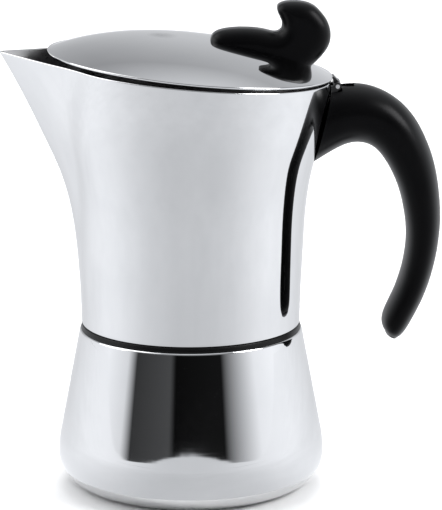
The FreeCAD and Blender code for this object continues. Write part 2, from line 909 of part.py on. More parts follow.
def build_knob():
    """Black thumb knob, screwed to the lid from below through two shaped washers."""
    shank = 1.27
    head = 2.4
    head_height = 1.5
    washer_radius = 3.4
    washer_depth = 1.7
    reach = 5.1
    wall = driven("lid_wall")
    under_lid = dome_filling(wall)
    holes = []
    screws = []
    washers = []
    for x in KNOB_SCREWS:
        under = dome_height(x) - wall
        low = under - washer_depth
        holes.append(Part.makeCylinder(shank + 0.03, reach, V(x, 0, under + 0.3)))
        screw = Part.makeCylinder(shank, washer_depth + reach, V(x, 0, low))
        screws.append(screw.fuse(
            Part.makeCylinder(head, head_height, V(x, 0, low - head_height))))
        ring = Part.makeCylinder(washer_radius, 2 * washer_depth, V(x, 0, low))
        ring = ring.common(under_lid)
        washers.append(ring.cut(Part.makeCylinder(1.5, 8, V(x, 0, low - 2))))
    frame = lid_frame()
    lid_solid = dome_filling(0)
    lid_solid.Placement = frame
    cutter = Part.makeCompound(holes)
    cutter.Placement = frame
    knob = feature("lid_knob", largest(knob_block().cut(lid_solid).cut(cutter)))
    screw_part = feature("knob_screws", Part.makeCompound(screws))
    screw_part.Placement = frame
    washer_part = feature("knob_washers", Part.makeCompound(washers))
    washer_part.Placement = frame
    keep(knob, screw_part, washer_part)


# ---------------------------------------------------------------- handle

# Handle stations from the jug to the free end: outer point and inner point in the XZ plane.
HANDLE_STATIONS = [
    ((46.0, 155.0), (39.0, 122.0)),
    ((54.7, 156.9), (47.6, 127.4)),
    ((61.3, 157.9), (54.9, 132.1)),
    ((68.0, 157.4), (61.0, 135.2)),
    ((74.6, 155.0), (67.0, 135.2)),
    ((80.8, 151.0), (71.3, 133.0)),
    ((86.6, 144.8), (75.0, 128.6)),
    ((91.2, 136.0), (78.8, 121.7)),
    ((95.2, 125.0), (81.6, 114.1)),
    ((97.2, 108.0), (83.5, 104.0)),
    ((96.6, 97.0), (83.9, 96.6)),
    ((94.8, 86.0), (82.7, 87.0)),
    ((91.4, 75.0), (79.9, 77.4)),
    ((87.3, 66.8), (76.6, 70.6)),
    ((84.4, 61.4), (74.6, 65.8)),
    ((82.4, 58.8), (74.6, 62.4)),
    ((80.8, 57.8), (76.0, 60.0)),
]


def oval_points(outer, inner, half_width, count):
    """Points of a rounded oval across the handle, between two points."""
    middle = (outer + inner) * 0.5
    deep = (outer - inner) * 0.5
    points = []
    for step in range(count):
        turn = 2 * math.pi * step / count
        reach = math.copysign(abs(math.cos(turn)) ** 0.8, math.cos(turn))
        spread = math.copysign(abs(math.sin(turn)) ** 0.8, math.sin(turn))
        points.append(middle + deep * reach + Y_AXIS * (half_width * spread))
    return points


def handle_skin():
    """The handle's smooth hook, reaching into the jug at its root."""
    sections = []
    count = len(HANDLE_STATIONS)
    slimming_stations = 7
    tip_widths = (0.62, 0.86, 0.97)
    for index, (outer, inner) in enumerate(HANDLE_STATIONS):
        share = min(1.0, index / slimming_stations)
        width = driven("grip_root_width") * (1 - share) + driven("grip_width") * share
        left = count - 1 - index
        if left < len(tip_widths):
            width = width * tip_widths[left]
        oval = oval_points(V(outer[0], 0, outer[1]), V(inner[0], 0, inner[1]), width / 2, 16)
        sections.append(settled(oval))
    return skinned_solid(sections)


def build_handle(jug_core):
    """Black hook handle with a steel tongue in its root and the screw that holds it."""
    x = driven("hinge_x")
    z = driven("hinge_height")
    leaf_half = driven("knuckle_width") / 2 + 0.5
    half = leaf_half + driven("ear_width") + 0.6
    hinge_pocket = Part.makeBox(12, 2 * half, 22, V(x - 10.2, -half, z - 10.8))
    leaf_notch = Part.makeBox(5, 2 * leaf_half, 4, V(x + 1.5, -leaf_half, z - 1.2))

    tongue_low = 141.0
    foot_low = 134.5
    screw_x = 64.0
    head_low = 135.9
    tongue = Part.makeBox(20, 8, 3, V(50, -4, tongue_low))
    foot = Part.makeBox(5, 14, 12, V(50.4, -7, foot_low))
    tongue = tongue.fuse(foot).cut(jug_core)
    tongue = tongue.cut(Part.makeCylinder(1.6, 10, V(screw_x, 0, head_low + 2)))
    bracket = feature("handle_bracket", largest(tongue))

    grip = handle_skin().cut(jug_core).cut(hinge_pocket).cut(leaf_notch)
    grip = grip.cut(Part.makeBox(22, 8, 3, V(49, -4, tongue_low)))
    grip = grip.cut(Part.makeBox(6.4, 14, 12, V(49, -7, foot_low)))
    grip = grip.cut(Part.makeCylinder(1.7, 12, V(screw_x, 0, head_low + 1.7)))
    grip = grip.cut(Part.makeCylinder(3.2, 10, V(screw_x, 0, head_low - 7.9)))
    grip_part = feature("handle_grip", largest(grip))

    screw = Part.makeCylinder(1.55, 12.5, V(screw_x, 0, head_low - 0.3))
    screw = screw.fuse(Part.makeCylinder(3.0, 1.9, V(screw_x, 0, head_low)))
    screw_part = feature("handle_screw", screw.removeSplitter())
    keep(grip_part, bracket, screw_part)


# ---------------------------------------------------------------- assembly

build_boiler()
build_neck()
build_valve()
build_funnel()
build_seal()
jug_outer = build_jug()
build_column()
lid = build_lid()
build_hinge(jug_outer, lid)
build_knob()
build_handle(jug_outer)
doc.recompute()

for item in doc.Objects:
    bad = [state for state in item.State if state in ("Invalid", "Error")]
    if bad:
        raise RuntimeError("%s is %s" % (item.Label, bad))
for item in sub_parts:
    if item.Shape.isNull() or not item.Shape.isValid() or not item.Shape.Solids:
        raise RuntimeError(item.Label + " has no valid solid")
for item in sub_parts:
    item.Shape.exportStep("parts/%s.step" % item.Label)
    print("%-18s solids %d volume %9.1f" % (item.Label, len(item.Shape.Solids), item.Shape.Volume))
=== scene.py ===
import json
import math

import bpy
import numpy as np
from mathutils import Matrix, Vector


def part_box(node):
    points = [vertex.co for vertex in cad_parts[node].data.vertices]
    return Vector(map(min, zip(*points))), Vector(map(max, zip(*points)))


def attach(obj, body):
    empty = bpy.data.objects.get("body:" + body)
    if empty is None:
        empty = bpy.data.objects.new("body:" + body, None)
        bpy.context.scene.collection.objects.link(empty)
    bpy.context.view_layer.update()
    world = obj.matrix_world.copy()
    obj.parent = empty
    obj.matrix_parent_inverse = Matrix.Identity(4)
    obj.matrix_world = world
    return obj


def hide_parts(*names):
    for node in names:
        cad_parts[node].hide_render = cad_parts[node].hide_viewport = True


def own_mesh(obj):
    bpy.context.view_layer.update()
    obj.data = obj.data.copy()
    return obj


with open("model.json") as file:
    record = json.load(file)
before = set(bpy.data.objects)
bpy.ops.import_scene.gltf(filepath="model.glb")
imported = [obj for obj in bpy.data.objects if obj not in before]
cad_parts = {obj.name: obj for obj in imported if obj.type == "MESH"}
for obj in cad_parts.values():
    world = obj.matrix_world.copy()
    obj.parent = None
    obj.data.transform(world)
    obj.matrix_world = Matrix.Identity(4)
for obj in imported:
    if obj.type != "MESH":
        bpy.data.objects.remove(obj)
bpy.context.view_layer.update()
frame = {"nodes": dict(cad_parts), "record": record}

# The looks of a stainless steel moka pot. Shapes are worked out in millimetres in the CAD frame
# (+Z up, the handle towards +X, the spout towards -X) and stored in metres.
MM = 0.001


# ---------------------------------------------------------------- node helpers

def link(tree, source, target):
    tree.links.new(source, target)


def new_material(name):
    """A material with a node tree holding only a Principled shader and the output."""
    material = bpy.data.materials.new(name)
    material.use_nodes = True
    tree = material.node_tree
    tree.nodes.clear()
    shader = tree.nodes.new("ShaderNodeBsdfPrincipled")
    output = tree.nodes.new("ShaderNodeOutputMaterial")
    link(tree, shader.outputs["BSDF"], output.inputs["Surface"])
    return material, tree, shader


def object_coordinates(tree):
    return tree.nodes.new("ShaderNodeTexCoord").outputs["Object"]


def scaled(tree, vector, scale):
    mapping = tree.nodes.new("ShaderNodeMapping")
    mapping.inputs["Scale"].default_value = scale
    link(tree, vector, mapping.inputs["Vector"])
    return mapping.outputs["Vector"]


def noise(tree, vector, scale, detail=3.0, roughness=0.55):
    node = tree.nodes.new("ShaderNodeTexNoise")
    node.inputs["Scale"].default_value = scale
    node.inputs["Detail"].default_value = detail
    node.inputs["Roughness"].default_value = roughness
    link(tree, vector, node.inputs["Vector"])
    return node.outputs["Fac"]


def ramp(tree, value, stops):
    """A colour that follows a list of (place, colour or grey level)."""
    node = tree.nodes.new("ShaderNodeValToRGB")
    elements = node.color_ramp.elements
    while len(elements) < len(stops):
        elements.new(0.5)
    for element, (place, colour) in zip(elements, stops):
        element.position = place
        shade = colour if isinstance(colour, tuple) else (colour, colour, colour)
        element.color = (*shade, 1.0)
    link(tree, value, node.inputs["Fac"])
    return node.outputs["Color"]


def ranged(tree, value, low, high, new_low, new_high):
    """A value moved from one range to another, and held at the new range's ends."""
    node = tree.nodes.new("ShaderNodeMapRange")
    node.inputs["From Min"].default_value = low
    node.inputs["From Max"].default_value = high
    node.inputs["To Min"].default_value = new_low
    node.inputs["To Max"].default_value = new_high
    link(tree, value, node.inputs["Value"])
    return node.outputs["Result"]


def math_node(tree, operation, first, second=None):
    """One sum on sockets or plain numbers."""
    node = tree.nodes.new("ShaderNodeMath")
    node.operation = operation
    for socket, item in zip(node.inputs, (first, second)):
        if item is None:
            continue
        if isinstance(item, (int, float)):
            socket.default_value = item
        else:
            link(tree, item, socket)
    return node.outputs["Value"]


def mixed(tree, factor, low, high):
    """Between two values by a factor."""
    node = tree.nodes.new("ShaderNodeMix")
    link(tree, factor, node.inputs["Factor"])
    for socket, item in ((node.inputs["A"], low), (node.inputs["B"], high)):
        if isinstance(item, (int, float)):
            socket.default_value = item
        else:
            link(tree, item, socket)
    return node.outputs["Result"]


def bump(tree, height, strength, distance, below=None):
    node = tree.nodes.new("ShaderNodeBump")
    node.inputs["Strength"].default_value = strength
    node.inputs["Distance"].default_value = distance
    link(tree, height, node.inputs["Height"])
    if below is not None:
        link(tree, below, node.inputs["Normal"])
    return node.outputs["Normal"]


def turned_coordinates(tree, ring_scale):
    """Coordinates that change fast along the pot's axis and radius, and slowly round it."""
    split = tree.nodes.new("ShaderNodeSeparateXYZ")
    link(tree, object_coordinates(tree), split.inputs["Vector"])
    square_x = math_node(tree, "POWER", split.outputs["X"], 2.0)
    square_y = math_node(tree, "POWER", split.outputs["Y"], 2.0)
    radius = math_node(tree, "SQRT", math_node(tree, "ADD", square_x, square_y))
    turn = math_node(tree, "ARCTAN2", split.outputs["Y"], split.outputs["X"])
    join = tree.nodes.new("ShaderNodeCombineXYZ")
    link(tree, math_node(tree, "MULTIPLY", radius, ring_scale), join.inputs["X"])
    link(tree, math_node(tree, "MULTIPLY", turn, 0.6), join.inputs["Y"])
    link(tree, math_node(tree, "MULTIPLY", split.outputs["Z"], ring_scale), join.inputs["Z"])
    return join.outputs["Vector"]


# ---------------------------------------------------------------- materials

def facing_in(tree, place):
    """1 on faces that look towards the pot's axis, 0 on the others."""
    geometry = tree.nodes.new("ShaderNodeNewGeometry")
    flat = scaled(tree, place, (1.0, 1.0, 0.0))
    product = tree.nodes.new("ShaderNodeVectorMath")
    product.operation = "DOT_PRODUCT"
    link(tree, geometry.outputs["Normal"], product.inputs[0])
    link(tree, flat, product.inputs[1])
    return ranged(tree, product.outputs["Value"], -0.0004, -0.0008, 0.0, 1.0)


def polished_steel():
    """Sheet steel, mirror-polished outside with a barely wavy surface, satin inside, with painted
    shade darkening the inside.
    """
    material, tree, shader = new_material("polished_steel")
    place = object_coordinates(tree)
    inside = facing_in(tree, place)
    rings = noise(tree, turned_coordinates(tree, 900.0), 1.0, 4.0, 0.6)
    haze = noise(tree, place, 38.0, 4.0, 0.6)
    waves = noise(tree, place, 24.0, 1.0, 0.4)
    tint = ramp(tree, haze, [(0.3, (0.655, 0.66, 0.668)), (0.75, (0.69, 0.692, 0.698))])
    # painted shade: faces that look towards the axis take a darker colour, for the shade inside the
    # jug and boiler
    tint_and_inner_shade = tree.nodes.new("ShaderNodeMix")
    tint_and_inner_shade.data_type = "RGBA"
    link(tree, inside, tint_and_inner_shade.inputs["Factor"])
    link(tree, tint, tint_and_inner_shade.inputs["A"])
    tint_and_inner_shade.inputs["B"].default_value = (0.34, 0.34, 0.345, 1.0)
    link(tree, tint_and_inner_shade.outputs["Result"], shader.inputs["Base Color"])
    shader.inputs["Metallic"].default_value = 1.0
    gloss = math_node(tree, "ADD", ranged(tree, rings, 0.3, 0.7, 0.008, 0.02),
                      ranged(tree, haze, 0.35, 0.8, 0.0, 0.02))
    satin = ranged(tree, rings, 0.3, 0.7, 0.26, 0.36)
    link(tree, mixed(tree, inside, gloss, satin), shader.inputs["Roughness"])
    wavy = bump(tree, waves, 0.02, 0.001)
    link(tree, bump(tree, rings, 0.02, 0.00002, wavy), shader.inputs["Normal"])
    return material


def satin_steel():
    """Turned and brushed steel of the inner pieces, with fine rings round the axis."""
    material, tree, shader = new_material("satin_steel")
    rings = noise(tree, turned_coordinates(tree, 2600.0), 1.0, 5.0, 0.7)
    stain = noise(tree, object_coordinates(tree), 60.0, 4.0, 0.6)
    tint = ramp(tree, stain, [(0.3, (0.50, 0.50, 0.505)), (0.7, (0.62, 0.615, 0.61))])
    link(tree, tint, shader.inputs["Base Color"])
    shader.inputs["Metallic"].default_value = 1.0
    link(tree, ranged(tree, rings, 0.25, 0.75, 0.2, 0.36), shader.inputs["Roughness"])
    link(tree, bump(tree, rings, 0.25, 0.00004), shader.inputs["Normal"])
    return material


def ground_steel():
    """Ground base disc: concentric grinding rings, dulled by the stove."""
    material, tree, shader = new_material("ground_steel")
    rings = noise(tree, turned_coordinates(tree, 1500.0), 1.0, 5.0, 0.7)
    stain = noise(tree, object_coordinates(tree), 45.0, 5.0, 0.65)
    tint = ramp(tree, stain, [(0.3, (0.34, 0.335, 0.33)), (0.7, (0.47, 0.465, 0.46))])
    link(tree, tint, shader.inputs["Base Color"])
    shader.inputs["Metallic"].default_value = 1.0
    link(tree, ranged(tree, rings, 0.25, 0.75, 0.32, 0.5), shader.inputs["Roughness"])
    link(tree, bump(tree, rings, 0.5, 0.00006), shader.inputs["Normal"])
    return material


def black_plastic():
    """Moulded black plastic with a fine satin grain and slight handling polish."""
    material, tree, shader = new_material("black_plastic")
    place = object_coordinates(tree)
    grain = noise(tree, place, 2600.0, 2.0, 0.5)
    wear = noise(tree, place, 55.0, 4.0, 0.6)
    tint = ramp(tree, wear, [(0.3, (0.0012, 0.0012, 0.0014)), (0.75, (0.0022, 0.0022, 0.0024))])
    link(tree, tint, shader.inputs["Base Color"])
    link(tree, ranged(tree, wear, 0.3, 0.75, 0.28, 0.36), shader.inputs["Roughness"])
    shader.inputs["IOR"].default_value = 1.5
    shader.inputs["Specular Tint"].default_value = (0.11, 0.11, 0.115, 1.0)
    flow = bump(tree, wear, 0.05, 0.0004)
    link(tree, bump(tree, grain, 0.12, 0.00003, flow), shader.inputs["Normal"])
    return material


def neck_black():
    """Near-black ring with faint moulding rings."""
    material, tree, shader = new_material("neck_black")
    rings = noise(tree, turned_coordinates(tree, 1200.0), 1.0, 3.0, 0.5)
    tint = ramp(tree, rings, [(0.3, (0.002, 0.002, 0.002)), (0.7, (0.004, 0.004, 0.0045))])
    link(tree, tint, shader.inputs["Base Color"])
    link(tree, ranged(tree, rings, 0.3, 0.7, 0.3, 0.4), shader.inputs["Roughness"])
    shader.inputs["Specular IOR Level"].default_value = 0.15
    link(tree, bump(tree, rings, 0.1, 0.00003), shader.inputs["Normal"])
    return material


def black_steel():
    """Sheet steel coloured near black, satin, a little rubbed at random."""
    material, tree, shader = new_material("black_steel")
    place = object_coordinates(tree)
    rubs = noise(tree, place, 700.0, 4.0, 0.6)
    tint = ramp(tree, rubs, [(0.4, (0.004, 0.004, 0.0042)), (0.8, (0.02, 0.02, 0.021))])
    link(tree, tint, shader.inputs["Base Color"])
    link(tree, ranged(tree, rubs, 0.3, 0.7, 0.34, 0.24), shader.inputs["Roughness"])
    shader.inputs["Specular IOR Level"].default_value = 0.3
    link(tree, bump(tree, rubs, 0.1, 0.00002), shader.inputs["Normal"])
    return material


def brass():
    """Machined brass of the relief valve, slightly tarnished."""
    material, tree, shader = new_material("brass")
    place = object_coordinates(tree)
    cuts = noise(tree, scaled(tree, place, (1.0, 12.0, 1.0)), 900.0, 4.0, 0.6)
    tarnish = noise(tree, place, 420.0, 4.0, 0.6)
    tint = ramp(tree, tarnish, [(0.3, (0.56, 0.36, 0.12)), (0.7, (0.78, 0.57, 0.25))])
    link(tree, tint, shader.inputs["Base Color"])
    shader.inputs["Metallic"].default_value = 1.0
    link(tree, ranged(tree, tarnish, 0.3, 0.7, 0.34, 0.2), shader.inputs["Roughness"])
    link(tree, bump(tree, cuts, 0.2, 0.00003), shader.inputs["Normal"])
    return material


def fibre():
    """Pressed red fibre washer."""
    material, tree, shader = new_material("fibre")
    flecks = noise(tree, object_coordinates(tree), 2200.0, 5.0, 0.7)
    tint = ramp(tree, flecks, [(0.3, (0.16, 0.03, 0.02)), (0.7, (0.34, 0.09, 0.055))])
    link(tree, tint, shader.inputs["Base Color"])
    link(tree, ranged(tree, flecks, 0.3, 0.7, 0.9, 0.7), shader.inputs["Roughness"])
    link(tree, bump(tree, flecks, 0.4, 0.00005), shader.inputs["Normal"])
    return material


def silicone():
    """Pale moulded silicone with a soft bloom."""
    material, tree, shader = new_material("silicone")
    bloom = noise(tree, object_coordinates(tree), 120.0, 4.0, 0.6)
    tint = ramp(tree, bloom, [(0.3, (0.70, 0.70, 0.67)), (0.7, (0.82, 0.82, 0.80))])
    link(tree, tint, shader.inputs["Base Color"])
    link(tree, ranged(tree, bloom, 0.3, 0.7, 0.45, 0.6), shader.inputs["Roughness"])
    shader.inputs["Subsurface Weight"].default_value = 0.15
    shader.inputs["Subsurface Radius"].default_value = (0.002, 0.002, 0.002)
    link(tree, bump(tree, bloom, 0.1, 0.0001), shader.inputs["Normal"])
    return material


def table_top():
    """Matt off-white studio surface with a barely visible grain."""
    material, tree, shader = new_material("table_top")
    grain = noise(tree, object_coordinates(tree), 90.0, 5.0, 0.6)
    tint = ramp(tree, grain, [(0.3, 0.86), (0.7, 0.88)])
    link(tree, tint, shader.inputs["Base Color"])
    link(tree, ranged(tree, grain, 0.3, 0.7, 0.5, 0.6), shader.inputs["Roughness"])
    return material


MATERIALS = {
    "polished_steel": polished_steel(),
    "plain_steel": satin_steel(),
    "base_steel": ground_steel(),
    "black_plastic": black_plastic(),
    "neck_black": neck_black(),
    "black_steel": black_steel(),
    "brass": brass(),
    "fibre": fibre(),
    "silicone": silicone(),
}


def dress_cad_nodes():
    """Every CAD node takes its slot's material."""
    for part in frame["record"]["subparts"]:
        node = frame["nodes"][part["node"]]
        node.data.materials.clear()
        node.data.materials.append(MATERIALS[part["material_slot"]])


dress_cad_nodes()


# ---------------------------------------------------------------- mesh building

def inside_out(mesh):
    """True if a closed mesh has its faces turned inwards."""
    mesh.calc_loop_triangles()
    volume = 0.0
    for triangle in mesh.loop_triangles:
        a, b, c = (mesh.vertices[index].co for index in triangle.vertices)
        volume += a.dot(b.cross(c))
    return volume < 0


def placed(name, data):
    """A new object in the scene."""
    item = bpy.data.objects.new(name, data)
    bpy.context.scene.collection.objects.link(item)
    return item


def add_piece(name, points, faces, slot, body, nodes):
    """A smooth mesh, given in millimetres, that stands for some CAD nodes and rides on a body."""
    mesh = bpy.data.meshes.new(name)
    mesh.from_pydata([tuple(c * MM for c in point) for point in points], [], faces)
    mesh.validate()
    mesh.polygons.foreach_set("use_smooth", [True] * len(mesh.polygons))
    mesh.update()
    if inside_out(mesh):
        mesh.flip_normals()
    piece = placed(name, mesh)
    mesh.materials.append(MATERIALS[slot])
    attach(piece, body)
    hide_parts(*nodes)
    return piece


def ring_faces(rows, columns, wrap_rows):
    """Quads over rows of closed rings, the rows themselves joined end to end if wrapped."""
    faces = []
    for row in range(rows if wrap_rows else rows - 1):
        below = row * columns
        above = ((row + 1) % rows) * columns
        for column in range(columns):
            beside = (column + 1) % columns
            faces.append((below + column, below + beside, above + beside, above + column))
    return faces


def arc_points(corner, before, after, radius, steps):
    """The rounding of one corner of an outline."""
    corner, before, after = (np.array(p, float) for p in (corner, before, after))
    to_before = before - corner
    to_after = after - corner
    reach = min(radius, 0.48 * np.linalg.norm(to_before), 0.48 * np.linalg.norm(to_after))
    start = corner + to_before / np.linalg.norm(to_before) * reach
    end = corner + to_after / np.linalg.norm(to_after) * reach
    points = []
    for step in range(steps + 1):
        share = step / steps
        point = start * (1 - share) ** 2 + corner * 2 * share * (1 - share) + end * share ** 2
        points.append(tuple(point))
    return points


def rounded_outline(points, closed):
    """An outline of (radius, height, rounding) with each corner rounded."""
    result = []
    count = len(points)
    for index, (r, z, rounding) in enumerate(points):
        at_end = not closed and index in (0, count - 1)
        if at_end or rounding == 0:
            result.append((r, z))
            continue
        before = points[index - 1][:2]
        after = points[(index + 1) % count][:2]
        result.extend(arc_points((r, z), before, after, rounding, 5))
    return result


def lathe(name, outline, slot, body, nodes, closed=False, segments=240, matrix=None):
    """A turned piece. A closed outline makes a ring; an open one starts and ends on the axis."""
    points = []
    rings = outline if closed else outline[1:-1]
    for r, z in rings:
        for step in range(segments):
            turn = 2 * math.pi * step / segments
            points.append((r * math.cos(turn), r * math.sin(turn), z))
    faces = ring_faces(len(rings), segments, closed)
    if not closed:
        for pole, ring, flip in ((outline[0], 0, True), (outline[-1], len(rings) - 1, False)):
            points.append((0.0, 0.0, pole[1]))
            tip = len(points) - 1
            first = ring * segments
            for step in range(segments):
                pair = (first + step, first + (step + 1) % segments)
                faces.append((tip, pair[1], pair[0]) if flip else (tip, pair[0], pair[1]))
    if matrix is not None:
        points = [tuple(matrix @ Vector(point)) for point in points]
    return add_piece(name, points, faces, slot, body, nodes)


def spline_weights(share):
    """The four weights of a uniform cubic spline."""
    return (
        (1 - share) ** 3 / 6,
        (3 * share ** 3 - 6 * share ** 2 + 4) / 6,
        (-3 * share ** 3 + 3 * share ** 2 + 3 * share + 1) / 6,
        share ** 3 / 6,
    )


def along(rows, place):
    """The ring of control points at a place between rows, as a spline through the rows' run."""
    base = min(max(int(place), 0), len(rows) - 4)
    weights = spline_weights(place - base)
    return sum(weight * rows[base + step] for step, weight in enumerate(weights))


def around(ring, places):
    """Points of the closed spline of a ring at each place from 0 to its number of poles."""
    count = len(ring)
    result = []
    for place in places:
        base = int(place)
        weights = spline_weights(place - base)
        result.append(sum(weight * ring[(base + step - 1) % count]
                          for step, weight in enumerate(weights)))
    return result


def settled(points):
    """Control points whose closed spline passes close to the given points."""
    poles = points.copy()
    for _ in range(3):
        curve = (np.roll(poles, 1, 0) + 4 * poles + np.roll(poles, -1, 0)) / 6
        poles = poles + points - curve
    return poles


# ---------------------------------------------------------------- boiler and neck ring

# Sizes of the boiler, in millimetres, as in the CAD.
BOILER_WALL = 1.2
BOILER_FOOT = 12.0
BELLY_ARC = 45.0
BELLY_TOP = 20.7
SHOULDER_RADIUS = 43.3
SHOULDER_ROUNDING = 0.8
MOUTH_RADIUS = 37.05
BASE_RADIUS = 38.1
BASE_HEIGHT = 2.0
EDGE_ROUNDING = 0.2
INNER_ROUNDING = 6.0
INNER_FOOT = 9.0
NECK_BAND_INNER = 38.3


def boiler_outside(belly, top):
    """The boiler's outline up to its shoulder: round foot, belly arc and straight wall."""
    foot = belly - BOILER_FOOT
    outline = []
    for step in range(17):
        turn = math.pi / 2 * step / 16
        outline.append((foot + BOILER_FOOT * math.sin(turn), BOILER_FOOT * (1 - math.cos(turn)), 0))
    lean = math.asin((BELLY_TOP - BOILER_FOOT) / BELLY_ARC)
    for step in range(1, 9):
        turn = lean * step / 8
        outline.append((belly - BELLY_ARC * (1 - math.cos(turn)),
                        BOILER_FOOT + BELLY_ARC * math.sin(turn), 0))
    side = outline[-1]
    for step in range(1, 12):
        share = step / 12
        outline.append((side[0] + (SHOULDER_RADIUS - side[0]) * share,
                        side[1] + (top - side[1]) * share, 0))
    return outline, side


def build_boiler():
    """Boiler with a rounded foot, a leaning wall and a flat shoulder, in one drawn sheet."""
    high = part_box("boiler_shell")[1] / MM
    wall = BOILER_WALL
    belly = high.x
    top = high.z
    outside, side = boiler_outside(belly, top)
    outline = [
        (0.0, BASE_HEIGHT, 0),
        (BASE_RADIUS, BASE_HEIGHT, EDGE_ROUNDING),
        (BASE_RADIUS, 0.0, 0.3),
        *outside,
        (SHOULDER_RADIUS, top, SHOULDER_ROUNDING),
        (MOUTH_RADIUS, top, EDGE_ROUNDING),
        (MOUTH_RADIUS, top - wall, EDGE_ROUNDING),
        (SHOULDER_RADIUS - wall, top - wall, SHOULDER_ROUNDING),
        (side[0] - wall, side[1], INNER_ROUNDING),
        (belly - wall, INNER_FOOT, INNER_ROUNDING),
        (belly - BOILER_FOOT, BASE_HEIGHT + wall, INNER_ROUNDING / 2),
        (0.0, BASE_HEIGHT + wall, 0),
    ]
    return lathe("boiler", rounded_outline(outline, False), "polished_steel", "boiler",
                 ["boiler_shell", "boiler_floor"])


def build_neck_ring():
    """Near-black ring between boiler and jug, a little narrower at its top."""
    low, high = (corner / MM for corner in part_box("neck_ring"))
    outline = [(NECK_BAND_INNER, low.z, 0.1), (high.x, low.z + 0.02, 0.25),
               (high.x - 0.5, high.z, 0.35), (NECK_BAND_INNER, high.z, 0.1)]
    return lathe("neck_band", rounded_outline(outline, True), "neck_black", "boiler",
                 ["neck_ring"], closed=True)


build_boiler()
build_neck_ring()


# ---------------------------------------------------------------- jug

# The jug's section at each height, as in the CAD: radius of the round wall, how far the spout's
# ridge stands out of it, and the radius of the ridge itself. The first two follow the photo's
# outline, measured through a fitted camera; the last is a guess.
JUG_SECTIONS = [
    (48.0, 42.3, 0.05, 34.0),
    (58.0, 42.4, 0.05, 34.0),
    (68.0, 42.55, 0.1, 34.0),
    (78.0, 42.85, 0.1, 33.0),
    (88.0, 43.4, 0.2, 31.0),
    (96.0, 43.8, 0.5, 27.0),
    (104.0, 44.15, 1.1, 22.0),
    (112.0, 44.8, 1.9, 17.5),
    (120.0, 45.9, 2.9, 14.0),
    (128.0, 47.7, 4.1, 11.0),
    (136.0, 50.1, 5.5, 8.5),
    (144.0, 52.0, 7.3, 6.5),
    (152.0, 53.4, 9.7, 4.8),
    (160.0, 54.2, 13.0, 3.4),
    (168.0, 54.6, 17.0, 2.4),
    (176.0, 54.8, 21.6, 1.8),
    (184.0, 54.9, 26.0, 1.6),
]
JUG_WALL = 0.8
RIM_HEIGHT = 163.9
RIM_SLOPE = 0.088
JUG_POLES = 48

# Share by which the jug's control points crowd towards the spout.
POLE_CROWDING = 0.9

# Fold beside the spout: its depth, the ridge's reach and the power that it grows with, and its
# place and spread as shares of the angle where the ridge leaves the round wall.
FOLD_DEPTH = 2.2
FOLD_REACH = 3.0
FOLD_POWER = 1.5
FOLD_PLACE = 0.9
FOLD_SPREAD = 0.3

# Rings that sample the jug's surface, and rings of its outer and inner mesh.
JUG_SAMPLES = 60
OUTER_RINGS = 150
INNER_RINGS = 60

# Points between two control points of a ring, on the jug and on the handle.
POLE_STEPS = 6


def hull_radius(turn, radius, reach, nose):
    """Distance from the axis to the hull of the round wall and the ridge; turn 0 is the spout.
    A shallow fold runs where the ridge's side leaves the round wall."""
    offset = radius + reach - nose
    tangent = math.acos((radius - nose) / offset)
    side = abs(turn)
    tip = math.atan2(nose * math.sin(tangent), offset + nose * math.cos(tangent))
    if side >= tangent:
        hull = radius
    elif side >= tip:
        hull = radius / math.cos(tangent - side)
    else:
        hull = offset * math.cos(side) + math.sqrt(nose ** 2 - (offset * math.sin(side)) ** 2)
    depth = FOLD_DEPTH * (reach / (reach + FOLD_REACH)) ** FOLD_POWER
    return hull - depth * math.exp(-((side / tangent - FOLD_PLACE) / FOLD_SPREAD) ** 2)


def jug_rows(wall):
    """Control rings of the jug's surface, inset by a wall."""
    rows = []
    for height, radius, reach, nose in JUG_SECTIONS:
        points = []
        for step in range(JUG_POLES):
            even = 2 * math.pi * step / JUG_POLES - math.pi
            turn = even - POLE_CROWDING * math.sin(even)
            out = hull_radius(turn, radius - wall, reach, nose - wall)
            points.append((-out * math.cos(turn), out * math.sin(turn), height))
        rows.append(settled(np.array(points)))
    return rows


def place_at_height(rows, height):
    """The place along the rows where the surface has a height."""
    low, high = 0.0, float(len(rows) - 3)
    for _ in range(40):
        middle = (low + high) / 2
        if along(rows, middle)[0][2] < height:
            low = middle
        else:
            high = middle
    return low


def jug_side(wall, places, low_height, rim_lift, steps):
    """A grid of rings from the jug's foot up to its sloping rim."""
    rows = jug_rows(wall)
    low = place_at_height(rows, low_height)
    top = len(rows) - 3 - 1e-6
    run = [low + (top - low) * step / JUG_SAMPLES for step in range(JUG_SAMPLES + 1)]
    grid = np.array([around(along(rows, place), places) for place in run])
    result = []
    for column in range(len(places)):
        path = grid[:, column]
        over = path[:, 2] - (RIM_HEIGHT + rim_lift - RIM_SLOPE * path[:, 0])
        first = int(np.argmax(over > 0))
        share = -over[first - 1] / (over[first] - over[first - 1])
        end = first - 1 + share
        spots = np.linspace(0, 1, steps + 1) * end
        column_points = [np.interp(spots, np.arange(JUG_SAMPLES + 1), path[:, axis])
                         for axis in range(3)]
        result.append(np.array(column_points).T)
    return np.array(result).transpose(1, 0, 2)


def lip(outer, inner, steps):
    """Rings that roll over from an outer edge ring to an inner one, bulging away upwards."""
    middle = (outer + inner) / 2
    half = (outer - inner) / 2
    size = np.linalg.norm(half, axis=1, keepdims=True)
    rings = []
    for step in range(1, steps):
        turn = math.pi * step / steps
        rise = np.array([0.0, 0.0, 1.0]) * size * math.sin(turn)
        rings.append(middle + half * math.cos(turn) + rise)
    return rings


